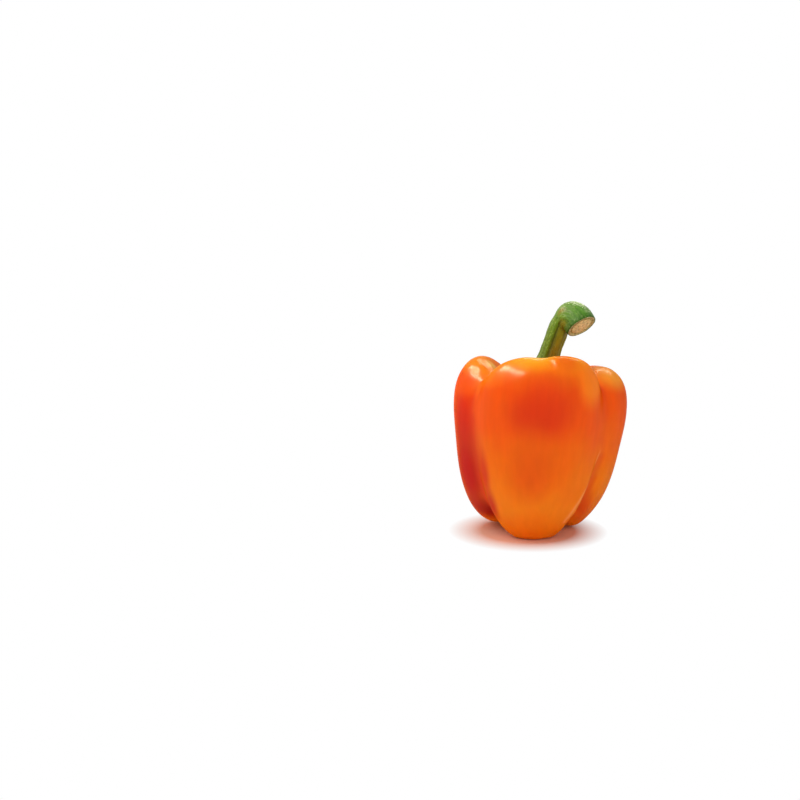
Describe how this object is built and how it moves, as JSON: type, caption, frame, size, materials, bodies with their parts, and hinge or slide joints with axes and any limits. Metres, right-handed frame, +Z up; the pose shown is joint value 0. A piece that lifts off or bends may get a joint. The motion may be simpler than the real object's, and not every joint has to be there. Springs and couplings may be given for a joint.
{
  "type": "bell pepper",
  "caption": "Whole blocky bell pepper standing on its lobes, ripe orange, with a ruffled green calyx and a ridged stem that hooks over to a flared cut end.",
  "frame": {"origin": "middle of the bounding box, on the ground the pepper stands on", "axes": "+Z up along the fruit; the biggest lobe faces -Y, and the stem leans and hooks over towards +X"},
  "size_m": [0.089, 0.0908, 0.1183],
  "materials": {
    "fruit_skin": "glossy waxy skin, orange, redder in the middle of the lobes",
    "calyx_leaf": "crinkled dark green leaf",
    "stem_skin": "ridged green skin with a pale tan cut end"
  },
  "bodies": {
    "root": {"fruit": "fruit_skin", "calyx": "calyx_leaf", "stem": "stem_skin"}
  },
  "joints": []
}
